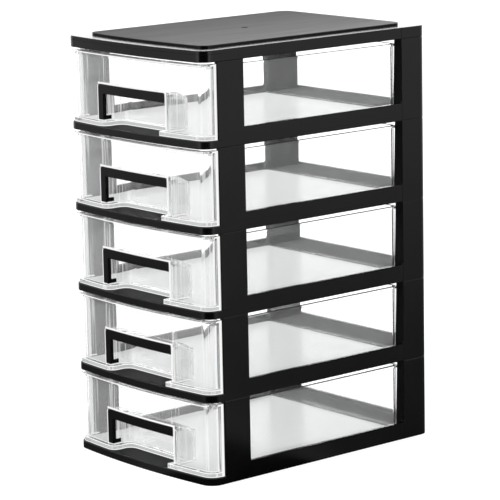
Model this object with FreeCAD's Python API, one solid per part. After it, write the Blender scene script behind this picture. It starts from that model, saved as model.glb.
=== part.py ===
import FreeCAD, Part
import math
import os

from FreeCAD import Vector

# A desk-top storage box of five stacked black tier frames with a top cover. Each tier
# holds a clear drawer with a bowed front, a finger recess and a black handle trim.
# Millimetres. The front faces -Y, +Z is up, and the origin is the middle of the base.

# Whole box
tiers = 5
width = 155.5
depth = 217.5
tier_pitch = 60.0
front_bow = 4.9              # the middle of the front stands this far ahead of its ends
front_corner_radius = 10.2
rear_corner_radius = 8.0
least_radius = 0.8           # inner corners are never sharper than this
edge_break = 0.35            # small chamfer along the long moulded edges

# Tier frame
frame_wall = 2.5
band_height = 5.5
shelf_thickness = 2.4
side_rail_height = 12.9
back_rail_height = 11.5
front_post_setback = 17.2    # from the crown of the front
front_post_length = 24.5
rear_post_length = 25.6      # along the side, up to the rear face
rear_post_leg = 11.8         # along the back
rear_return_foot = 9.4       # how far the rear post's return reaches in, at the shelf
rear_return_head = 7.7       # and at the top of the tier
rear_return_thickness = 2.0
post_edge_radius = 1.2
window_corner_radius = 2.5
rib_thickness = 1.6
rib_lift = 1.0               # the ribs under a shelf stop this far above the band's lower edge
rib_spacing = 44.0
rib_margin = 8.0             # least room between a rib and the band

# Tongues on the posts, which stand in rebates of the module above
tongue_thickness = 1.2
tongue_height = 2.7
tongue_margin = 2.0          # from the ends of the post
tongue_clearance = 0.2

# Top cover
cover_band_height = 8.25
cover_skin = 2.5
plate_margin = 12.2
plate_height = 1.8
plate_corner_radius = 9.0
plate_edge_radius = 0.5
gate_mark_radius = 2.4
gate_mark_depth = 0.4
gate_stub_radius = 0.8
gate_stub_height = 0.25

# Drawer
drawer_lift = 0.3            # running gap between the drawer and its shelf
tub_inset = 4.0              # from the outline of the band
tub_wall = 2.0
tub_floor = 2.0
tub_top_gap = 3.5            # from the rim to the next module
tub_rear_gap = 2.0           # ahead of the rear posts
tub_rear_radius = 5.0
tub_bottom_radius = 1.5
rim_reach = 1.0
rim_thickness = 1.5
panel_top_gap = 1.6
lip_inset = 0.4
lip_thickness = 1.2
flange_inset = 1.0
flange_thickness = 3.3
stop_gap = 0.3               # between the stop ribs and the front posts
stop_rib_thickness = 2.2

# Finger recess in the drawer front, open below and ahead
recess_half_width = 35.7
recess_depth = 18.4          # from the face of the drawer front
recess_height = 34.3         # heights above the tier's base
recess_back_height = 29.0
recess_ceiling_flat = 8.5
recess_back_radius = 10.0
recess_mouth_radius = 2.0
recess_flange_reach = 4.0
recess_flange_radius = 6.0   # where the flange turns into the recess

# Black handle trim on the recess's left and upper edges
trim_inset = 3.2             # its face, from the outline of the band
trim_overlap = 5.2           # over the drawer front, left of the recess
trim_leg_width = 5.7
trim_bottom = 10.2
trim_top = 35.9
trim_bar_height = 6.8
trim_thickness = 2.0
trim_side_depth = 4.0
trim_side_thickness = 1.5
trim_foot_depth = 4.6
trim_foot_height = 2.8
trim_ledge_thickness = 1.8
trim_left_radius = 2.5
trim_right_radius = 1.5
trim_end_gap = 0.2
trim_gap = 0.1
peg_radius = 1.5
peg_clearance = 0.1
peg_height = 2.4
peg_spacing = 44.0
bead_gap = 0.15
bead_width = 0.9
bead_height = 0.7            # how far it stands out of the drawer front

# Places worked out from the sizes above
half_width = width / 2
front = -depth / 2
rear = depth / 2
bow_radius = (front_bow ** 2 + half_width ** 2) / (2 * front_bow)
bow_centre = front + bow_radius
front_post_face = front + front_post_setback
window_front = front_post_face + front_post_length
window_rear = rear - rear_post_length
shelf_underside = band_height - shelf_thickness
drawer_base = band_height + drawer_lift
drawer_face = front + tub_inset
drawer_rear = window_rear - tub_rear_gap
drawer_rim = tier_pitch - tub_top_gap
drawer_top = tier_pitch - panel_top_gap
flange_top = drawer_base + flange_thickness
stop_rib_rear = front_post_face - stop_gap
recess_back = drawer_face + recess_depth
trim_left = -recess_half_width - trim_overlap
trim_right = recess_half_width - trim_end_gap
trim_inner = trim_left + trim_leg_width
trim_bar_bottom = trim_top - trim_bar_height
trim_side_rear = front + trim_inset + trim_side_depth
far = 2 * (width + depth)    # larger than the whole box


def box(x0, x1, y0, y1, z0, z1):
    return Part.makeBox(x1 - x0, y1 - y0, z1 - z0, Vector(x0, y0, z0))


def mirrored(shape):
    return shape.mirror(Vector(0, 0, 0), Vector(1, 0, 0))


def both_sides(shape):
    return shape.fuse(mirrored(shape))


def bow_at(x, inset):
    """The y of the bowed front, moved in by inset, at a distance x from the middle."""
    return bow_centre - math.sqrt((bow_radius - inset) ** 2 - x ** 2)


def rounded_polygon(corners, lift):
    """A face from (u, v, radius) corners, placed by lift(u, v), with its corners rounded."""
    ends = []
    for i, (u, v, radius) in enumerate(corners):
        before = corners[i - 1]
        after = corners[(i + 1) % len(corners)]
        here = Vector(u, v, 0)
        to_before = (Vector(before[0], before[1], 0) - here).normalize()
        to_after = (Vector(after[0], after[1], 0) - here).normalize()
        half_angle = to_before.getAngle(to_after) / 2
        run = radius / math.tan(half_angle)
        middle = (to_before + to_after).normalize()
        reach = radius / math.sin(half_angle) - radius
        ends.append((here + to_before * run, here + middle * reach, here + to_after * run, radius))
    edges = []
    for i, (start, middle, end, radius) in enumerate(ends):
        if radius > 0:
            arc = Part.Arc(lift(start.x, start.y), lift(middle.x, middle.y), lift(end.x, end.y))
            edges.append(arc.toShape())
        following = ends[(i + 1) % len(ends)][0]
        edges.append(Part.LineSegment(lift(end.x, end.y), lift(following.x, following.y)).toShape())
    return Part.Face(Part.Wire(edges))


def flat(u, v):
    return Vector(u, v, 0)


def upright(u, v):
    return Vector(u, 0, v)


def sideways(u, v):
    return Vector(0, u, v)


def outline(inset, front_radius, rear_edge, rear_radius):
    """The plan of the box, moved in by inset: a bowed front, straight sides and a straight rear."""
    half = half_width - inset
    bow = bow_radius - inset
    corner_x = half - front_radius
    corner_y = bow_centre - math.sqrt((bow - front_radius) ** 2 - corner_x ** 2)
    corner = Vector(corner_x, corner_y, 0)
    out = (corner - Vector(0, bow_centre, 0)).normalize()
    on_bow = corner + out * front_radius
    on_side = Vector(half, corner_y, 0)
    mid_corner = corner + (out + Vector(1, 0, 0)).normalize() * front_radius
    side_end = Vector(half, rear_edge - rear_radius, 0)
    rear_end = Vector(half - rear_radius, rear_edge, 0)
    slant = rear_radius * math.sqrt(0.5)
    mid_rear = Vector(rear_end.x + slant, side_end.y + slant, 0)

    def left(point):
        return Vector(-point.x, point.y, 0)

    crown = Vector(0, bow_centre - bow, 0)
    edges = [
        Part.Arc(left(on_bow), crown, on_bow).toShape(),
        Part.Arc(on_bow, mid_corner, on_side).toShape(),
        Part.LineSegment(on_side, side_end).toShape(),
        Part.Arc(side_end, mid_rear, rear_end).toShape(),
        Part.LineSegment(rear_end, left(rear_end)).toShape(),
        Part.Arc(left(rear_end), left(mid_rear), left(side_end)).toShape(),
        Part.LineSegment(left(side_end), left(on_side)).toShape(),
        Part.Arc(left(on_side), left(mid_corner), left(on_bow)).toShape(),
    ]
    return Part.Face(Part.Wire(edges))


def slab(face, z0, z1):
    return face.translated(Vector(0, 0, z0)).extrude(Vector(0, 0, z1 - z0))


def module_slab(inset, z0, z1):
    """A block with the plan of the frame, moved in by inset on all four sides."""
    front_radius = max(front_corner_radius - inset, least_radius)
    rear_radius = max(rear_corner_radius - inset, least_radius)
    return slab(outline(inset, front_radius, rear - inset, rear_radius), z0, z1)


def drawer_slab(inset, z0, z1):
    """A block that follows the front and sides, moved in by inset, and ends with the tub."""
    front_radius = max(front_corner_radius - inset, least_radius)
    rear_radius = max(tub_rear_radius - inset + tub_inset, least_radius)
    rear_edge = drawer_rear + tub_inset - inset
    return slab(outline(inset, front_radius, rear_edge, rear_radius), z0, z1)


def level_edges(shape, z):
    """The edges that lie flat at height z."""
    found = []
    for edge in shape.Edges:
        bounds = edge.BoundBox
        if abs(bounds.ZMin - z) < 1e-6 and abs(bounds.ZMax - z) < 1e-6:
            found.append(edge)
    return found


def upright_edges(shape, y):
    """The outer upright edges of a side wall that stand at y."""
    found = []
    for edge in shape.Edges:
        bounds = edge.BoundBox
        stands = bounds.ZLength > 1 and bounds.XLength < 1e-6 and bounds.YLength < 1e-6
        outside = abs(abs(bounds.XMin) - half_width) < 1e-6
        if stands and outside and abs(bounds.YMin - y) < 1e-6:
            found.append(edge)
    return found


def tongue_ranges():
    """Where the tongues stand along each side, as pairs of y."""
    front_pair = (front_post_face + tongue_margin, window_front - tongue_margin)
    rear_pair = (window_rear + tongue_margin, rear - rear_corner_radius - tongue_margin)
    return front_pair, rear_pair


def tongues():
    inner = half_width - frame_wall
    parts = []
    for y0, y1 in tongue_ranges():
        tongue = box(inner, inner + tongue_thickness, y0, y1, tier_pitch - frame_wall,
                     tier_pitch + tongue_height)
        parts.append(both_sides(tongue))
    return parts[0].fuse(parts[1:])


def rebates(depth_up):
    """The room that the tongues of the module below need in a band's inner side."""
    inner = half_width - frame_wall
    reach = tongue_thickness + tongue_clearance
    parts = []
    for y0, y1 in tongue_ranges():
        room = box(inner - reach, inner + reach, y0 - tongue_clearance, y1 + tongue_clearance,
                   0, depth_up)
        parts.append(both_sides(room))
    return parts[0].fuse(parts[1:])


def under_ribs(ceiling):
    """Stiffening ribs under a shelf or cover, both ways, from the middle outwards."""
    inside = module_slab(frame_wall / 2, 0, ceiling)
    parts = []
    across = int((half_width - frame_wall - rib_margin) / rib_spacing)
    along = int((rear - frame_wall - rib_margin) / rib_spacing)
    for i in range(-across, across + 1):
        x = i * rib_spacing
        parts.append(box(x - rib_thickness / 2, x + rib_thickness / 2, front, rear,
                         rib_lift, ceiling))
    for i in range(-along, along + 1):
        y = i * rib_spacing
        parts.append(box(-half_width, half_width, y - rib_thickness / 2, y + rib_thickness / 2,
                         rib_lift, ceiling))
    return parts[0].fuse(parts[1:]).common(inside)


def tier_walls():
    """The side posts and rails with the open side windows and the open back."""
    walls = module_slab(0, 0, tier_pitch)
    walls = walls.makeChamfer(edge_break, level_edges(walls, 0) + level_edges(walls, tier_pitch))
    walls = walls.cut(module_slab(frame_wall, 0, tier_pitch))
    walls = walls.cut(box(-half_width, half_width, front, front_post_face, 0, tier_pitch))
    window = rounded_polygon([
        (window_front, side_rail_height, 0),
        (window_rear, side_rail_height, window_corner_radius),
        (window_rear, tier_pitch + band_height, 0),
        (window_front, tier_pitch + band_height, 0),
    ], sideways)
    walls = walls.cut(window.translated(Vector(-far / 2, 0, 0)).extrude(Vector(far, 0, 0)))
    back_half = half_width - rear_post_leg
    walls = walls.cut(box(-back_half, back_half, rear - 2 * frame_wall, rear + frame_wall,
                          back_rail_height, tier_pitch))
    edges = upright_edges(walls, front_post_face)
    edges += upright_edges(walls, window_front)
    return walls.makeFillet(post_edge_radius, edges)


def rear_returns():
    """The inward plates at the front of the rear posts, which taper towards the top."""
    inner = half_width - frame_wall / 2
    profile = rounded_polygon([
        (inner, shelf_underside, 0),
        (half_width - rear_return_foot, shelf_underside, 0),
        (half_width - rear_return_foot, band_height, 0),
        (half_width - rear_return_head, tier_pitch, 0),
        (inner, tier_pitch, 0),
    ], upright)
    plate = profile.translated(Vector(0, window_rear, 0))
    return both_sides(plate.extrude(Vector(0, rear_return_thickness, 0)))


def tier_frame():
    band = module_slab(0, 0, band_height)
    band = band.makeChamfer(edge_break, level_edges(band, 0) + level_edges(band, band_height))
    band = band.cut(module_slab(frame_wall, 0, shelf_underside))
    frame = band.fuse([tier_walls(), rear_returns(), under_ribs(shelf_underside)])
    frame = frame.cut(rebates(shelf_underside))
    return frame.fuse(tongues()).removeSplitter()


def cover_plate(inset, z0, z1):
    """The raised plate's plan, moved in by inset."""
    margin = plate_margin + inset
    radius = plate_corner_radius - inset
    return slab(outline(margin, radius, rear - margin, radius), z0, z1)


def top_cover():
    band_top = cover_band_height
    plate_top = band_top + plate_height
    band = module_slab(0, 0, band_top)
    band = band.makeChamfer(edge_break, level_edges(band, 0) + level_edges(band, band_top))
    plate = cover_plate(0, band_top - cover_skin, plate_top)
    plate = plate.makeFillet(plate_edge_radius, level_edges(plate, plate_top))
    cover = band.fuse(plate)
    under_band = band_top - cover_skin
    cover = cover.cut(module_slab(frame_wall, 0, under_band))
    cover = cover.cut(cover_plate(cover_skin, under_band, plate_top - cover_skin))
    cover = cover.fuse(under_ribs(under_band + cover_skin / 2))
    cover = cover.cut(rebates(tongue_height + tongue_clearance))
    dimple = Part.makeCylinder(gate_mark_radius, gate_mark_depth,
                               Vector(0, 0, plate_top - gate_mark_depth))
    stub = Part.makeCylinder(gate_stub_radius, gate_stub_height + gate_mark_depth,
                             Vector(0, 0, plate_top - 2 * gate_mark_depth))
    return cover.cut(dimple).fuse(stub).removeSplitter()


def recess_side(grow):
    """The recess seen from the side: a flat ceiling that slopes down to the back wall."""
    slope_start = drawer_face + recess_ceiling_flat + grow
    return rounded_polygon([
        (front - far, -far, 0),
        (recess_back + grow, -far, 0),
        (recess_back + grow, recess_back_height + grow, 0),
        (slope_start, recess_height + grow, 0),
        (front - far, recess_height + grow, 0),
    ], sideways)


def recess_block(grow, z0, z1):
    """The room of the recess, grown by grow on all its sides."""
    plan = rounded_polygon([
        (-recess_half_width - grow, front - far, 0),
        (-recess_half_width - grow, recess_back + grow, recess_back_radius + grow),
        (recess_half_width + grow, recess_back + grow, least_radius),
        (recess_half_width + grow, front - far, 0),
    ], flat)
    side = recess_side(grow).translated(Vector(-far / 2, 0, 0)).extrude(Vector(far, 0, 0))
    return slab(plan, z0, z1).common(side)


def mouth_flare(grow, inset, radius, z0, z1):
    """Rounds the corner where the front, moved in by inset, turns into the recess's left side."""
    left = -recess_half_width - grow
    lip = bow_at(left - radius, inset)
    corner = box(left - radius, left, front - tub_inset, lip + radius, z0, z1)
    return corner.cut(Part.makeCylinder(radius, z1 - z0, Vector(left - radius, lip + radius, z0)))


def trim_face(grow, bottom):
    """The trim's outer rectangle seen from the front, grown by grow on three sides."""
    return rounded_polygon([
        (trim_left - grow, bottom, 0),
        (trim_left - grow, trim_top + grow, trim_left_radius + grow),
        (trim_right + grow, trim_top + grow, trim_right_radius + grow),
        (trim_right + grow, bottom, 0),
    ], upright)


def through(face):
    """A face seen from the front, drawn back through the drawer front."""
    return face.translated(Vector(0, front, 0)).extrude(Vector(0, tub_inset + front_bow + tub_wall, 0))


def front_skin(outer_inset, inner_inset, z0, z1):
    """A bowed sheet that follows the front between two insets."""
    return drawer_slab(outer_inset, z0, z1).cut(drawer_slab(inner_inset, z0, z1))


def drawer():
    tub = drawer_slab(tub_inset, drawer_base, drawer_top)
    tub = tub.makeFillet(tub_bottom_radius, level_edges(tub, drawer_base))
    tub = tub.cut(box(-half_width, half_width, stop_rib_rear, rear, drawer_rim, tier_pitch))
    rim = drawer_slab(tub_inset - rim_reach, drawer_rim - rim_thickness, drawer_rim)
    ahead = box(-half_width, half_width, front, stop_rib_rear, 0, tier_pitch)
    lip = drawer_slab(lip_inset, drawer_top - lip_thickness, drawer_top)
    lip = lip.makeChamfer(edge_break, level_edges(lip, drawer_top)).common(ahead)
    flange = drawer_slab(flange_inset, drawer_base, flange_top)
    flange = flange.makeChamfer(edge_break, level_edges(flange, flange_top)).common(ahead)
    ribs = drawer_slab(lip_inset, drawer_base, drawer_top)
    ribs = ribs.common(box(-half_width, half_width, stop_rib_rear - stop_rib_thickness,
                           stop_rib_rear, drawer_base, drawer_top))
    bead = through(trim_face(bead_gap + bead_width, flange_top))
    bead = bead.cut(through(trim_face(bead_gap, flange_top)))
    bead = bead.common(front_skin(tub_inset - bead_height, tub_inset + tub_wall / 2,
                                  flange_top, drawer_top))
    cavity = drawer_slab(tub_inset + tub_wall, drawer_base + tub_floor, tier_pitch)
    cavity = cavity.makeFillet(tub_bottom_radius, level_edges(cavity, drawer_base + tub_floor))
    body = tub.fuse([rim, lip, flange, ribs, bead]).cut(cavity)
    lining = recess_block(tub_wall, drawer_base, tier_pitch)
    body = body.fuse(lining.common(drawer_slab(tub_inset, drawer_base, drawer_top)))
    body = body.cut(recess_block(0, flange_top, tier_pitch))
    body = body.cut(mouth_flare(0, tub_inset, recess_mouth_radius, flange_top, recess_height))
    body = body.cut(recess_block(-recess_flange_reach, 0, flange_top))
    body = body.cut(mouth_flare(-recess_flange_reach, flange_inset, recess_flange_radius,
                                0, flange_top))
    side_left = trim_inner - trim_side_thickness - trim_gap
    side_room = box(side_left, trim_inner, front, trim_side_rear + trim_gap,
                    trim_bottom - trim_gap, recess_height)
    foot_room = box(side_left, trim_inner, front, trim_side_rear + trim_foot_depth + trim_gap,
                    trim_bottom - trim_gap, trim_bottom + trim_foot_height + trim_gap)
    body = body.cut(side_room.fuse(foot_room))
    body = body.cut(pegs(peg_radius + peg_clearance))
    return body.removeSplitter()


def pegs(radius):
    """Two pegs on the trim, or the holes for them in the recess's ceiling."""
    y = drawer_face + recess_ceiling_flat / 2
    base = recess_height - trim_gap - trim_ledge_thickness / 2
    height = trim_ledge_thickness / 2 + trim_gap + peg_height
    left = Part.makeCylinder(radius, height, Vector(-peg_spacing / 2, y, base))
    right = Part.makeCylinder(radius, height, Vector(peg_spacing / 2, y, base))
    return left.fuse(right)


def drawer_handle():
    face = trim_face(0, trim_bottom)
    window = box(trim_inner, half_width, front, recess_back, 0, trim_bar_bottom)
    sheet = through(face).common(front_skin(trim_inset, tub_inset - trim_gap, 0, tier_pitch))
    mouth_left = trim_inner - trim_side_thickness
    mouth_top = recess_height - trim_gap
    mouth = box(mouth_left, trim_right, front, recess_back, trim_bottom, mouth_top)
    thick = through(face).common(front_skin(trim_inset, trim_inset + trim_thickness, 0, tier_pitch))
    trim = sheet.fuse(thick.common(mouth)).cut(window)
    crown_side = bow_at(trim_inner, trim_inset + trim_thickness / 2)
    side = box(mouth_left, trim_inner, crown_side, trim_side_rear, trim_bottom, mouth_top)
    foot = box(mouth_left, trim_inner, crown_side, trim_side_rear + trim_foot_depth,
               trim_bottom, trim_bottom + trim_foot_height)
    ledge = box(trim_inner, trim_right, front, drawer_face + recess_ceiling_flat - trim_gap,
                mouth_top - trim_ledge_thickness, mouth_top)
    ledge = ledge.common(drawer_slab(trim_inset + trim_thickness / 2, 0, tier_pitch))
    return trim.fuse([side, foot, ledge, pegs(peg_radius)]).removeSplitter()


def save(shape, name, base):
    solid = shape.translated(Vector(0, 0, base))
    solid.exportStep(os.path.join("parts", name + ".step"))


os.makedirs("parts", exist_ok=True)
one_frame = tier_frame()
one_drawer = drawer()
one_handle = drawer_handle()
for tier in range(tiers):
    number = str(tier + 1)
    save(one_frame, "tier_frame_" + number, tier * tier_pitch)
    save(one_drawer, "drawer_" + number, tier * tier_pitch)
    save(one_handle, "drawer_handle_" + number, tier * tier_pitch)
save(top_cover(), "top_cover", tiers * tier_pitch)
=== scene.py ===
import math

import bpy
from mathutils import Matrix, Vector


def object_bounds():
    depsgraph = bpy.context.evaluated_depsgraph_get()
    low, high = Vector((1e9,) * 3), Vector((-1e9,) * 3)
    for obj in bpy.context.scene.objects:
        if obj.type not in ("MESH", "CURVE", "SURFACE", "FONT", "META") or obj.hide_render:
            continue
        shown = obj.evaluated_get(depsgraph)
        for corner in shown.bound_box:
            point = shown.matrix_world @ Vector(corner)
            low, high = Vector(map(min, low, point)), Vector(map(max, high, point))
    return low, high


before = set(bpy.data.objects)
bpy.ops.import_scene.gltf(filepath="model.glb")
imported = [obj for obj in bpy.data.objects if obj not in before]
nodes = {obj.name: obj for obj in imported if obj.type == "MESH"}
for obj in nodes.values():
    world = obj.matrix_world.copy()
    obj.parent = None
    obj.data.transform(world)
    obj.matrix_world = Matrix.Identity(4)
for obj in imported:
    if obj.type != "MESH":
        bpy.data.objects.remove(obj)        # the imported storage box: tier frames, cover, drawers and handle trims
for leftover in ("Cube", "Light", "Camera"):
    if leftover in bpy.data.objects:
        bpy.data.objects.remove(bpy.data.objects[leftover])
cadLow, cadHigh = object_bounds()
scene = bpy.context.scene
print("frame loaded:", len(nodes), "CAD nodes")

mm = 0.001
imageSize = 500          # pixels across and down
tierNumbers = range(1, 6)
tierPitch = 60 * mm      # the tiers repeat with this height
noiseLow = 0.3           # a noise's values lie mostly between these two
noiseHigh = 0.7
plainSpecular = 0.5      # what the shader has by itself
white = (1.0, 1.0, 1.0, 1.0)


def linear(hexColour):
    channels = [int(hexColour[i:i + 2], 16) / 255 for i in (1, 3, 5)]
    curved = [c / 12.92 if c <= 0.04045 else ((c + 0.055) / 1.055) ** 2.4 for c in channels]
    return (*curved, 1.0)


def addNode(tree, kind, settings=None, links=None):
    node = tree.nodes.new("ShaderNode" + kind)
    for name, value in (settings or {}).items():
        if isinstance(name, int) or name in node.inputs:
            node.inputs[name].default_value = value
        else:
            setattr(node, name, value)
    for name, source in (links or {}).items():
        tree.links.new(source, node.inputs[name])
    return node


def newMaterial(name):
    material = bpy.data.materials.new(name)
    material.use_nodes = True
    tree = material.node_tree
    tree.nodes.clear()
    output = addNode(tree, "OutputMaterial")
    place = addNode(tree, "TexCoord").outputs["Object"]
    return material, tree, output, place


def setRamp(ramp, stops):
    steps = ramp.color_ramp.elements
    steps.remove(steps[1])
    steps[0].position = stops[0][0]
    for position, value in stops[1:]:
        steps.new(position)
    for step, (position, value) in zip(steps, stops):
        step.color = (value, value, value, 1.0)


def span(low, high):
    return (low + high) / 2, (high - low) / 2     # as Compare takes a range: middle and reach


# Camera: fitted to the edges of the bands, posts and windows in the photo
viewFrom = {
    "azimuth": 49.72,        # degrees round from the front, towards the right side
    "elevation": 11.135,
    "roll": -1.119,
    "distance": 1.9953,      # metres from the point that it aims at
    "aim": (0.00118, 0.0, 0.14515),
    "focalPixels": 2700.5,
    "sensor": 36.0,
    "clipStart": 0.1,
}


def placeCamera(view):
    azimuth = math.radians(view["azimuth"])
    elevation = math.radians(view["elevation"])
    level = math.cos(elevation)
    back = Vector((math.sin(azimuth) * level, -math.cos(azimuth) * level, math.sin(elevation)))
    cameraData = bpy.data.cameras.new("camera")
    cameraData.sensor_width = view["sensor"]
    cameraData.lens = view["focalPixels"] / imageSize * view["sensor"]
    cameraData.clip_start = view["clipStart"]
    camera = bpy.data.objects.new("camera", cameraData)
    scene.collection.objects.link(camera)
    turn = Matrix.Rotation(azimuth, 4, "Z") @ Matrix.Rotation(math.pi / 2 - elevation, 4, "X")
    turn = turn @ Matrix.Rotation(math.radians(view["roll"]), 4, "Z")
    camera.matrix_world = Matrix.Translation(Vector(view["aim"]) + back * view["distance"]) @ turn
    scene.camera = camera
    return Vector((back.x, back.y, 0)).normalized()


towardsCamera = placeCamera(viewFrom)
scene.view_settings.view_transform = "Standard"
print("camera placed")


# Black frames: injection moulded high-impact polystyrene, near black all through, with the
# sheen of a polished mould and a faint orange peel that makes its reflections uneven
blackFrame = {
    "colour": "#050506",
    "colourPale": "#0a0a0b",
    "ior": 1.59,
    "roughnessLow": 0.15,
    "roughnessHigh": 0.26,
    "plateDull": 0.66,           # roughness of the top plate, streaked by the flow of the melt
    "plateSheen": 0.6,
    "plateEnd": 65 * mm,         # this far left it is duller by plateLeft, and this far right
    "plateLeft": 0.03,           # glossier by plateRight
    "plateRight": -0.12,
    "plateLevel": 0.3 * mm,      # how far under the cover's top the plate's finish still counts
    "streakLength": 60 * mm,
    "streakWidth": 5 * mm,
    "flowSize": 35 * mm,         # width of the moulding's flow patches
    "peelSize": 2.2 * mm,        # orange peel, a little coarser than life so that it shows
    "peelHeight": 0.006 * mm,
    "grainSize": 0.9 * mm,       # eroded grain of the top plate, drawn coarser than its 0.2 mm
    "grainHeight": 0.02 * mm,
    # duller faces, darkened as painted shade by a lower specular level: the front of the plates
    # that the rear posts turn inwards, and the front end of each shelf, which shows under the recess
    "returnFace": 83.15 * mm,
    "returnReach": 0.2 * mm,
    "shelfTop": 5.5 * mm,        # height in its tier
    "shelfReach": 0.1 * mm,
    "shelfFrontEnds": -87 * mm,
    "dullRoughness": 0.6,
    "paintedShadeSpecular": 0.12,
}


def blackFrameMaterial(values):
    material, tree, output, place = newMaterial("mouldedBlackPolystyrene")
    flow = addNode(tree, "TexNoise", {
        "Scale": 1 / values["flowSize"],
        "Detail": 3.0,
    }, {"Vector": place})
    peel = addNode(tree, "TexNoise", {
        "Scale": 1 / values["peelSize"],
        "Detail": 2.0,
    }, {"Vector": place})
    grain = addNode(tree, "TexNoise", {
        "Scale": 1 / values["grainSize"],
        "Detail": 2.0,
    }, {"Vector": place})
    colour = addNode(tree, "Mix", {
        "data_type": "RGBA",
        6: linear(values["colour"]),
        7: linear(values["colourPale"]),
    }, {0: flow.outputs["Fac"]})
    sheen = addNode(tree, "MapRange", {
        "From Min": noiseLow,
        "From Max": noiseHigh,
        "To Min": values["roughnessLow"],
        "To Max": values["roughnessHigh"],
    }, {"Value": flow.outputs["Fac"]})

    # the top plate
    position = addNode(tree, "SeparateXYZ", links={0: place})
    onPlate = addNode(tree, "Math", {
        "operation": "GREATER_THAN",
        1: cadHigh.z - values["plateLevel"],
    }, {0: position.outputs["Z"]})
    stretched = addNode(tree, "VectorMath", {
        "operation": "MULTIPLY",
        1: (1 / values["streakWidth"], 1 / values["streakLength"], 1),
    }, {0: place})
    streak = addNode(tree, "TexNoise", {
        "Scale": 1.0,
        "Detail": 4.0,
    }, {"Vector": stretched.outputs[0]})
    plate = addNode(tree, "MapRange", {
        "From Min": noiseLow,
        "From Max": noiseHigh,
        "To Min": values["plateDull"],
        "To Max": values["plateSheen"],
    }, {"Value": streak.outputs["Fac"]})
    lean = addNode(tree, "MapRange", {
        "From Min": -values["plateEnd"],
        "From Max": values["plateEnd"],
        "To Min": values["plateLeft"],
        "To Max": values["plateRight"],
    }, {"Value": position.outputs["X"]})
    plateRoughness = addNode(tree, "Math", {"operation": "ADD"}, {
        0: plate.outputs[0],
        1: lean.outputs[0],
    })
    moulded = addNode(tree, "Mix", links={
        0: onPlate.outputs[0],
        2: sheen.outputs[0],
        3: plateRoughness.outputs[0],
    })

    # the dull faces, with painted shade from their lower specular level
    onReturn = addNode(tree, "Math", {
        "operation": "COMPARE",
        1: values["returnFace"],
        2: values["returnReach"],
    }, {0: position.outputs["Y"]})
    height = addNode(tree, "Math", {
        "operation": "MODULO",
        1: tierPitch,
    }, {0: position.outputs["Z"]})
    onShelf = addNode(tree, "Math", {
        "operation": "COMPARE",
        1: values["shelfTop"],
        2: values["shelfReach"],
    }, {0: height.outputs[0]})
    inFront = addNode(tree, "Math", {
        "operation": "LESS_THAN",
        1: values["shelfFrontEnds"],
    }, {0: position.outputs["Y"]})
    shelfFront = addNode(tree, "Math", {"operation": "MULTIPLY"}, {
        0: onShelf.outputs[0],
        1: inFront.outputs[0],
    })
    dullAndShaded = addNode(tree, "Math", {"operation": "MAXIMUM"}, {
        0: onReturn.outputs[0],
        1: shelfFront.outputs[0],
    })
    roughness = addNode(tree, "Mix", {3: values["dullRoughness"]}, {
        0: dullAndShaded.outputs[0],
        2: moulded.outputs[0],
    })
    # painted shade: the dull faces get a lower specular level
    specular = addNode(tree, "Mix", {
        2: plainSpecular,
        3: values["paintedShadeSpecular"],
    }, {0: dullAndShaded.outputs[0]})

    peelBump = addNode(tree, "Bump", {
        "Strength": 1.0,
        "Distance": values["peelHeight"],
    }, {"Height": peel.outputs["Fac"]})
    grainBump = addNode(tree, "Bump", {"Distance": values["grainHeight"]}, {
        "Strength": onPlate.outputs[0],
        "Height": grain.outputs["Fac"],
        "Normal": peelBump.outputs[0],
    })
    surface = addNode(tree, "BsdfPrincipled", {"IOR": values["ior"]}, {
        "Base Color": colour.outputs[2],
        "Specular IOR Level": specular.outputs[0],
        "Roughness": roughness.outputs[0],
        "Normal": grainBump.outputs[0],
    })
    tree.links.new(surface.outputs[0], output.inputs["Surface"])
    return material


# Handle trims: black moulded ABS, a touch less shiny than the frames
blackHandle = {
    "colour": "#050505",
    "ior": 1.53,
    "roughnessLow": 0.18,
    "roughnessHigh": 0.26,
    "flowSize": 12 * mm,
    "peelSize": 1.4 * mm,
    "peelHeight": 0.004 * mm,
    "sideFrom": 0.6,             # a face counts as a side face when its normal points this much
    "sideShadeSpecular": 0.06,        # to the right; there a lower specular level paints the shade of the dark recess
}


def blackHandleMaterial(values):
    material, tree, output, place = newMaterial("satinBlackAbs")
    flow = addNode(tree, "TexNoise", {
        "Scale": 1 / values["flowSize"],
        "Detail": 3.0,
    }, {"Vector": place})
    peel = addNode(tree, "TexNoise", {
        "Scale": 1 / values["peelSize"],
        "Detail": 2.0,
    }, {"Vector": place})
    roughness = addNode(tree, "MapRange", {
        "From Min": noiseLow,
        "From Max": noiseHigh,
        "To Min": values["roughnessLow"],
        "To Max": values["roughnessHigh"],
    }, {"Value": flow.outputs["Fac"]})
    bump = addNode(tree, "Bump", {
        "Strength": 1.0,
        "Distance": values["peelHeight"],
    }, {"Height": peel.outputs["Fac"]})
    facing = addNode(tree, "SeparateXYZ", links={0: addNode(tree, "NewGeometry").outputs["Normal"]})
    sideways = addNode(tree, "Math", {
        "operation": "GREATER_THAN",
        1: values["sideFrom"],
    }, {0: facing.outputs["X"]})
    # painted shade: a lower specular level on the faces that point into the recess
    specular = addNode(tree, "Mix", {
        2: plainSpecular,
        3: values["sideShadeSpecular"],
    }, {0: sideways.outputs[0]})
    surface = addNode(tree, "BsdfPrincipled", {
        "IOR": values["ior"],
        "Base Color": linear(values["colour"]),
    }, {
        "Specular IOR Level": specular.outputs[0],
        "Roughness": roughness.outputs[0],
        "Normal": bump.outputs[0],
    })
    tree.links.new(surface.outputs[0], output.inputs["Surface"])
    return material


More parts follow.
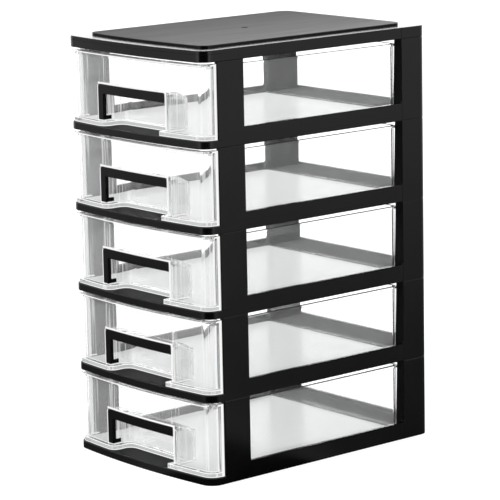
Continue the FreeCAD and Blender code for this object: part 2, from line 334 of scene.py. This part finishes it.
# Drawers: injection moulded general-purpose polystyrene, clear with a slight milky veil,
# and with the slow ripple that melt flow leaves, which bends what is seen through it
clearDrawer = {
    "colour": "#fbfcfc",
    "ior": 1.59,
    "roughness": 0.0,
    "transmission": 0.9,
    "wallTransmission": 0.97,    # the tub's thin walls are clearer than the front
    "rippleSize": 18 * mm,
    "rippleHeight": 0.03 * mm,
    "frontEnds": -88 * mm,       # the front, its flange and its stop ribs lie before this
    "uprightBelow": 0.8,         # a face is upright when its normal points less than this up
    "bowAxis": (0.0, 510.54 * mm, 0.0),     # of the front, from which Face and Back are measured

    # the flange under the front and the stop ribs, which are thick and looked at edge on, are tinted grey and less
    # clear as painted shade
    "flange": (5.7 * mm, 9.2 * mm),         # heights are from the foot of the tier
    "thickFrom": 73.9 * mm,
    "thickShadeColour": "#bcc0c0",
    "thickTransmission": 0.8,

    # the tub's floor, matt so that the back rail shows once, and made pale by a painted glow
    "floorHeights": (5.6 * mm, 8.0 * mm),
    "panelBack": 613.2 * mm,
    "tubInside": 72 * mm,
    "floorRoughness": 0.24,
    "paintedFloorGlow": 1.0,            # strength of the painted glow on the floor when seen at a low angle
    "floorFall": 1.7,            # and how fast that falls off as it is seen from higher up

    # upright draw lines in the corners of the front and the recess, with painted highlights on their crests
    "drawWidth": 1.6 * mm,
    "drawLength": 70 * mm,
    "drawHeight": 0.05 * mm,
    "drawReach": 80 * mm,
    # (distance from the middle as a share of drawReach, how strongly they show there)
    "drawStrength": [
        (0.0, 0.0), (0.38, 0.0), (0.42, 1.0), (0.49, 1.0),
        (0.52, 0.0), (0.8, 0.0), (0.86, 1.0), (1.0, 1.0),
    ],
    "crest": (0.54, 0.62),       # noise values between which a painted highlight grows on a line's crest
    "paintedCrestGlow": 0.48,            # strength of the painted highlight on the crests

    # painted highlights: thin glowing lines along the edges, in place of the light piped in the walls
    "edgeLine": 0.7 * mm,
    "paintedEdgeGlow": 0.93,
    "lip": (57.1 * mm, 57.9 * mm),
    "lipFace": 617.9 * mm,
    "ribSide": 77.1 * mm,
    "cornerSides": (73.4 * mm, 74.3 * mm),
    "cornerDepths": (-95 * mm, -94 * mm),
    "trimMiddle": -2.7 * mm,     # a painted highlight line runs round the handle trim, on the bead
    "trimHalfWidth": 38.25 * mm,
    "trimTop": 35.95 * mm,
    "beadWidth": 1.2 * mm,
    "beadFace": 614.4 * mm,
    "deepestRay": 7,             # a ray that has met more faces than this sees a painted glow of this strength, in place of light piped on inside to a bright edge
    "paintedPipedGlow": 0.85,          # and would at last come out at a bright edge
}


def drawerMasks(tree, values, place):
    position = addNode(tree, "SeparateXYZ", links={0: place})
    facing = addNode(tree, "SeparateXYZ", links={0: addNode(tree, "NewGeometry").outputs["Normal"]})
    fromAxis = addNode(tree, "VectorMath", {
        "operation": "SUBTRACT",
        1: values["bowAxis"],
    }, {0: place})
    flat = addNode(tree, "VectorMath", {
        "operation": "MULTIPLY",
        1: (1, 1, 0),
    }, {0: fromAxis.outputs[0]})
    bow = addNode(tree, "VectorMath", {"operation": "LENGTH"}, {0: flat.outputs[0]})
    made = {
        "across": position.outputs["X"],
        "along": position.outputs["Y"],
        "up": position.outputs["Z"],
        "normalUp": facing.outputs["Z"],
        "bow": bow.outputs["Value"],
    }
    foot, head = values["flange"]
    line = values["edgeLine"]
    # each row: what it makes, the operation, and its terms, which are numbers or made before
    rows = [
        ("height", "MODULO", "up", tierPitch),
        ("side", "ABSOLUTE", "across"),
        ("slope", "ABSOLUTE", "normalUp"),
        ("upright", "LESS_THAN", "slope", values["uprightBelow"]),
        ("ahead", "LESS_THAN", "along", values["frontEnds"]),
        ("front", "MULTIPLY", "upright", "ahead"),
        ("wall", "SUBTRACT", "upright", "front"),

        ("flangeHeight", "COMPARE", "height", *span(foot, head)),
        ("farSide", "GREATER_THAN", "side", values["thickFrom"]),
        ("either", "MAXIMUM", "flangeHeight", "farSide"),
        ("thick", "MULTIPLY", "ahead", "either"),

        ("level", "SUBTRACT", 1.0, "upright"),
        ("behindPanel", "LESS_THAN", "bow", values["panelBack"]),
        ("betweenWalls", "LESS_THAN", "side", values["tubInside"]),
        ("inTub", "MULTIPLY", "behindPanel", "betweenWalls"),
        ("levelInTub", "MULTIPLY", "level", "inTub"),
        ("floorHeight", "COMPARE", "height", *span(*values["floorHeights"])),
        ("floor", "MULTIPLY", "levelInTub", "floorHeight"),

        ("atFoot", "COMPARE", "height", *span(foot, foot + line)),
        ("footLine", "MULTIPLY", "front", "atFoot"),
        ("atHead", "COMPARE", "height", *span(head - line, head)),
        ("headLine", "MULTIPLY", "front", "atHead"),

        ("lipHeight", "COMPARE", "height", *span(*values["lip"])),
        ("uprightLip", "MULTIPLY", "lipHeight", "upright"),
        ("beforeLip", "GREATER_THAN", "bow", values["lipFace"]),
        ("lipLine", "MULTIPLY", "uprightLip", "beforeLip"),

        ("ribEnd", "GREATER_THAN", "side", values["ribSide"]),
        ("ribLine", "MULTIPLY", "ahead", "ribEnd"),

        ("cornerSide", "COMPARE", "side", *span(*values["cornerSides"])),
        ("cornerDepth", "COMPARE", "along", *span(*values["cornerDepths"])),
        ("cornerLine", "MULTIPLY", "cornerSide", "cornerDepth"),

        ("fromMiddle", "SUBTRACT", "across", values["trimMiddle"]),
        ("besideMiddle", "ABSOLUTE", "fromMiddle"),
        ("besideTrim", "SUBTRACT", "besideMiddle", values["trimHalfWidth"]),
        ("aboveTrim", "SUBTRACT", "height", values["trimTop"]),
        ("roundTrim", "MAXIMUM", "besideTrim", "aboveTrim"),
        ("nearTrim", "COMPARE", "roundTrim", *span(0.0, values["beadWidth"])),
        ("aboveFlange", "GREATER_THAN", "height", head),
        ("ring", "MULTIPLY", "nearTrim", "aboveFlange"),
        ("beforeBead", "GREATER_THAN", "bow", values["beadFace"]),
        ("edges", "MULTIPLY", "ring", "beforeBead"),
    ]
    paintedLines = ("footLine", "headLine", "lipLine", "ribLine", "cornerLine")
    rows += [("edges", "MAXIMUM", "edges", name) for name in paintedLines]
    for name, operation, *terms in rows:
        numbers = {i: term for i, term in enumerate(terms) if term not in made}
        sources = {i: made[term] for i, term in enumerate(terms) if term in made}
        node = addNode(tree, "Math", {"operation": operation, **numbers}, sources)
        made[name] = node.outputs[0]
    return made


def clearDrawerMaterial(values):
    material, tree, output, place = newMaterial("clearMouldedPolystyrene")
    masks = drawerMasks(tree, values, place)
    # painted shade: the thick flange and ribs are tinted grey and let less light through
    colour = addNode(tree, "Mix", {
        "data_type": "RGBA",
        6: linear(values["colour"]),
        7: linear(values["thickShadeColour"]),
    }, {0: masks["thick"]})
    clearness = addNode(tree, "Mix", {
        2: values["transmission"],
        3: values["wallTransmission"],
    }, {0: masks["wall"]})
    transmission = addNode(tree, "Mix", {3: values["thickTransmission"]}, {
        0: masks["thick"],
        2: clearness.outputs[0],
    })
    roughness = addNode(tree, "Mix", {
        2: values["roughness"],
        3: values["floorRoughness"],
    }, {0: masks["floor"]})

    # the ripple and the draw lines
    ripple = addNode(tree, "TexNoise", {
        "Scale": 1 / values["rippleSize"],
        "Detail": 1.0,
    }, {"Vector": place})
    rippled = addNode(tree, "Bump", {
        "Strength": 1.0,
        "Distance": values["rippleHeight"],
    }, {"Height": ripple.outputs["Fac"]})
    perWidth = 1 / values["drawWidth"]
    drawn = addNode(tree, "VectorMath", {
        "operation": "MULTIPLY",
        1: (perWidth, perWidth, 1 / values["drawLength"]),
    }, {0: place})
    drawLines = addNode(tree, "TexNoise", {
        "Scale": 1.0,
        "Detail": 2.0,
    }, {"Vector": drawn.outputs[0]})
    reach = addNode(tree, "Math", {
        "operation": "DIVIDE",
        1: values["drawReach"],
    }, {0: masks["side"]})
    shown = addNode(tree, "ValToRGB", links={0: reach.outputs[0]})
    setRamp(shown, values["drawStrength"])
    drawStrength = addNode(tree, "Math", {"operation": "MULTIPLY"}, {
        0: masks["ahead"],
        1: shown.outputs[0],
    })
    bump = addNode(tree, "Bump", {"Distance": values["drawHeight"]}, {
        "Strength": drawStrength.outputs[0],
        "Height": drawLines.outputs["Fac"],
        "Normal": rippled.outputs[0],
    })
    surface = addNode(tree, "BsdfPrincipled", {"IOR": values["ior"]}, {
        "Base Color": colour.outputs[2],
        "Roughness": roughness.outputs[0],
        "Transmission Weight": transmission.outputs[0],
        "Normal": bump.outputs[0],
    })

    # painted light: a glow at the edges, the crests and the floor
    crestLow, crestHigh = values["crest"]
    crests = addNode(tree, "MapRange", {
        "From Min": crestLow,
        "From Max": crestHigh,
        "To Max": values["paintedCrestGlow"],
    }, {"Value": drawLines.outputs["Fac"]})
    paintedCrestLight = addNode(tree, "Math", {"operation": "MULTIPLY"}, {
        0: drawStrength.outputs[0],
        1: crests.outputs[0],
    })
    paintedLines = addNode(tree, "Math", {"operation": "MAXIMUM"}, {
        0: masks["edges"],
        1: paintedCrestLight.outputs[0],
    })
    slant = addNode(tree, "LayerWeight", {"Blend": 0.5})
    lowView = addNode(tree, "Math", {
        "operation": "POWER",
        1: values["floorFall"],
    }, {0: slant.outputs["Facing"]})
    sheen = addNode(tree, "Math", {
        "operation": "MULTIPLY",
        1: values["paintedFloorGlow"],
    }, {0: lowView.outputs[0]})
    paintedFloorLight = addNode(tree, "Math", {"operation": "MULTIPLY"}, {
        0: masks["floor"],
        1: sheen.outputs[0],
    })
    paintedLightShare = addNode(tree, "Math", {"operation": "MAXIMUM"}, {
        0: paintedLines.outputs[0],
        1: paintedFloorLight.outputs[0],
    })
    glow = addNode(tree, "Emission", {"Color": white, "Strength": values["paintedEdgeGlow"]})
    lit = addNode(tree, "MixShader", links={
        0: paintedLightShare.outputs[0],
        1: surface.outputs[0],
        2: glow.outputs[0],
    })

    # and a painted glow for rays that stay inside
    deep = addNode(tree, "Math", {
        "operation": "GREATER_THAN",
        1: values["deepestRay"],
    }, {0: addNode(tree, "LightPath").outputs["Ray Depth"]})
    paintedInsideGlow = addNode(tree, "Emission", {"Color": white, "Strength": values["paintedPipedGlow"]})
    whole = addNode(tree, "MixShader", links={
        0: deep.outputs[0],
        1: lit.outputs[0],
        2: paintedInsideGlow.outputs[0],
    })
    tree.links.new(whole.outputs[0], output.inputs["Surface"])
    return material


def dress(nodeName, material):
    for materialSlot in nodes[nodeName].material_slots:
        materialSlot.material = material


framePlastic = blackFrameMaterial(blackFrame)
handlePlastic = blackHandleMaterial(blackHandle)
drawerPlastic = clearDrawerMaterial(clearDrawer)
dress("top_cover", framePlastic)
for number in tierNumbers:
    dress(f"tier_frame_{number}", framePlastic)
    dress(f"drawer_{number}", drawerPlastic)
    dress(f"drawer_handle_{number}", handlePlastic)
print("materials given")


# Studio: a white backdrop behind the object and a darker room on the camera's side. The
# glossy faces and the clear edges show it, with the dark line at the near corner
studio = {
    "diffuseStrength": 0.55,
    "throughGlass": 1.7,         # the backdrop is this much brighter through the drawers
    "overheadFrom": 0.25,        # upward part of a direction where the overhead light begins
    "overheadTo": 0.7,
    "overhead": 0.9,
    # brightness round the room: (place, brightness), where the place goes from 0, straight
    # behind the object, to 1, at the camera
    "surround": [
        (0.0, 1.0), (0.18, 0.95), (0.26, 0.3), (0.42, 0.32), (0.58, 0.43), (0.75, 0.55),
        (0.86, 1.0), (0.89, 0.9), (0.925, 0.04), (1.0, 0.01),
    ],
    # and as the clear drawers bend it into sight
    "surroundThroughGlass": [
        (0.0, 1.0), (0.3, 0.95), (0.38, 0.06), (0.48, 0.06), (0.55, 0.42), (0.7, 0.42),
        (0.86, 1.0), (0.89, 0.9), (0.925, 0.5), (1.0, 0.5),
    ],
}


def roomBrightness(tree, heading, path):
    flat = addNode(tree, "VectorMath", {"operation": "MULTIPLY", 1: (1, 1, 0)}, {0: heading})
    unit = addNode(tree, "VectorMath", {"operation": "NORMALIZE"}, {0: flat.outputs[0]})
    along = addNode(tree, "VectorMath", {
        "operation": "DOT_PRODUCT",
        1: towardsCamera,
    }, {0: unit.outputs[0]})
    share = addNode(tree, "MapRange", {
        "From Min": -1.0,
        "From Max": 1.0,
    }, {"Value": along.outputs["Value"]})
    surround = addNode(tree, "ValToRGB", links={0: share.outputs[0]})
    setRamp(surround, studio["surround"])
    bent = addNode(tree, "ValToRGB", links={0: share.outputs[0]})
    setRamp(bent, studio["surroundThroughGlass"])
    return addNode(tree, "Mix", {"data_type": "RGBA"}, {
        0: path.outputs["Is Transmission Ray"],
        6: surround.outputs[0],
        7: bent.outputs[0],
    }).outputs[2]


def mirroredOrBent(tree, path):
    return addNode(tree, "Math", {"operation": "MAXIMUM"}, {
        0: path.outputs["Is Glossy Ray"],
        1: path.outputs["Is Transmission Ray"],
    }).outputs[0]


def buildWorld(values):
    world = bpy.data.worlds.new("studio")
    scene.world = world
    world.use_nodes = True
    tree = world.node_tree
    tree.nodes.clear()
    direction = addNode(tree, "TexCoord").outputs["Generated"]
    path = addNode(tree, "LightPath")
    up = addNode(tree, "SeparateXYZ", links={0: direction}).outputs["Z"]
    overhead = addNode(tree, "MapRange", {
        "From Min": values["overheadFrom"],
        "From Max": values["overheadTo"],
        "interpolation_type": "SMOOTHSTEP",
    }, {"Value": up})
    room = addNode(tree, "Mix", {
        "data_type": "RGBA",
        7: (values["overhead"],) * 3 + (1,),
    }, {
        0: overhead.outputs[0],
        6: roomBrightness(tree, direction, path),
    })
    soft = addNode(tree, "Mix", {
        "data_type": "RGBA",
        6: (values["diffuseStrength"],) * 3 + (1,),
    }, {
        0: mirroredOrBent(tree, path),
        7: room.outputs[2],
    })
    shown = addNode(tree, "Mix", {"data_type": "RGBA", 7: white}, {
        0: path.outputs["Is Camera Ray"],
        6: soft.outputs[2],
    })
    strength = addNode(tree, "MapRange", {
        "To Min": 1.0,
        "To Max": values["throughGlass"],
    }, {"Value": path.outputs["Is Transmission Ray"]})
    background = addNode(tree, "Background", links={
        "Color": shown.outputs[2],
        "Strength": strength.outputs[0],
    })
    output = addNode(tree, "OutputWorld")
    tree.links.new(background.outputs[0], output.inputs["Surface"])


buildWorld(studio)

# Floor: a plain pale sheet that shows a soft shadow. In mirrors it is as bright as the room
# in that direction, with painted shade near the object, so the lower tiers reflect less
paleFloor = {
    "size": 12.0,
    "colour": "#9a9a9a",
    "glowSeen": 0.8,             # white that the eye sees on top of the lit colour
    "glowFar": 1.0,              # the same, far behind the object
    "farFrom": 0.6,
    "farTo": 2.0,
    "mirroredShadeNear": 0.14,        # painted shade: share of the room's brightness in mirrors, by the object
    "mirroredFullFrom": 2.2,     # and where it is all there
}


def buildFloor(values):
    bpy.ops.mesh.primitive_plane_add(size=values["size"])
    floor = bpy.context.object
    floor.name = "floor"
    material, tree, output, place = newMaterial("palePaper")
    path = addNode(tree, "LightPath")
    distance = addNode(tree, "VectorMath", {"operation": "LENGTH"}, {0: place})
    lit = addNode(tree, "BsdfDiffuse", {"Color": linear(values["colour"])})
    seenGlow = addNode(tree, "MapRange", {
        "From Min": values["farFrom"],
        "From Max": values["farTo"],
        "To Min": values["glowSeen"],
        "To Max": values["glowFar"],
    }, {"Value": distance.outputs["Value"]})
    direct = addNode(tree, "Math", {"operation": "MULTIPLY"}, {
        0: path.outputs["Is Camera Ray"],
        1: seenGlow.outputs[0],
    })
    glow = addNode(tree, "Emission", {"Color": white}, {"Strength": direct.outputs[0]})
    seen = addNode(tree, "AddShader", links={0: lit.outputs[0], 1: glow.outputs[0]})

    # painted shade: the floor is darker in mirrors near the object
    paintedShadeNear = addNode(tree, "MapRange", {
        "From Max": values["mirroredFullFrom"],
        "To Min": values["mirroredShadeNear"],
    }, {"Value": distance.outputs["Value"]})
    through = addNode(tree, "Math", {
        "operation": "MULTIPLY",
        1: studio["throughGlass"],
    }, {0: path.outputs["Is Transmission Ray"]})
    strength = addNode(tree, "Math", {"operation": "MAXIMUM"}, {
        0: paintedShadeNear.outputs[0],
        1: through.outputs[0],
    })
    mirrored = addNode(tree, "Emission", links={
        "Color": roomBrightness(tree, place, path),
        "Strength": strength.outputs[0],
    })
    either = addNode(tree, "MixShader", links={
        0: mirroredOrBent(tree, path),
        1: seen.outputs[0],
        2: mirrored.outputs[0],
    })
    tree.links.new(either.outputs[0], output.inputs["Surface"])
    floor.data.materials.append(material)


buildFloor(paleFloor)

# Softboxes: (name, place, width, height, watts, shows in reflections)
softboxes = [
    ("keyLight", (-1.1, -1.5, 1.2), 1.4, 1.4, 50.0, False),
    ("sideLight", (2.1, -0.2, 1.0), 1.2, 1.2, 16.0, False),
    ("overheadLight", (0.0, 0.2, 2.2), 1.6, 1.6, 20.0, False),
    ("rearLight", (-1.6, 1.36, 0.62), 2.6, 0.9, 10.0, True),
]


def addSoftbox(name, place, width, height, watts, shows):
    data = bpy.data.lights.new(name, "AREA")
    data.shape = "RECTANGLE"
    data.size = width
    data.size_y = height
    data.energy = watts
    lamp = bpy.data.objects.new(name, data)
    scene.collection.objects.link(lamp)
    middle = (cadLow + cadHigh) / 2
    lamp.location = place
    lamp.rotation_euler = (Vector(place) - middle).to_track_quat("Z", "Y").to_euler()
    lamp.visible_camera = False
    lamp.visible_glossy = shows


for softbox in softboxes:
    addSoftbox(*softbox)
print("studio built")
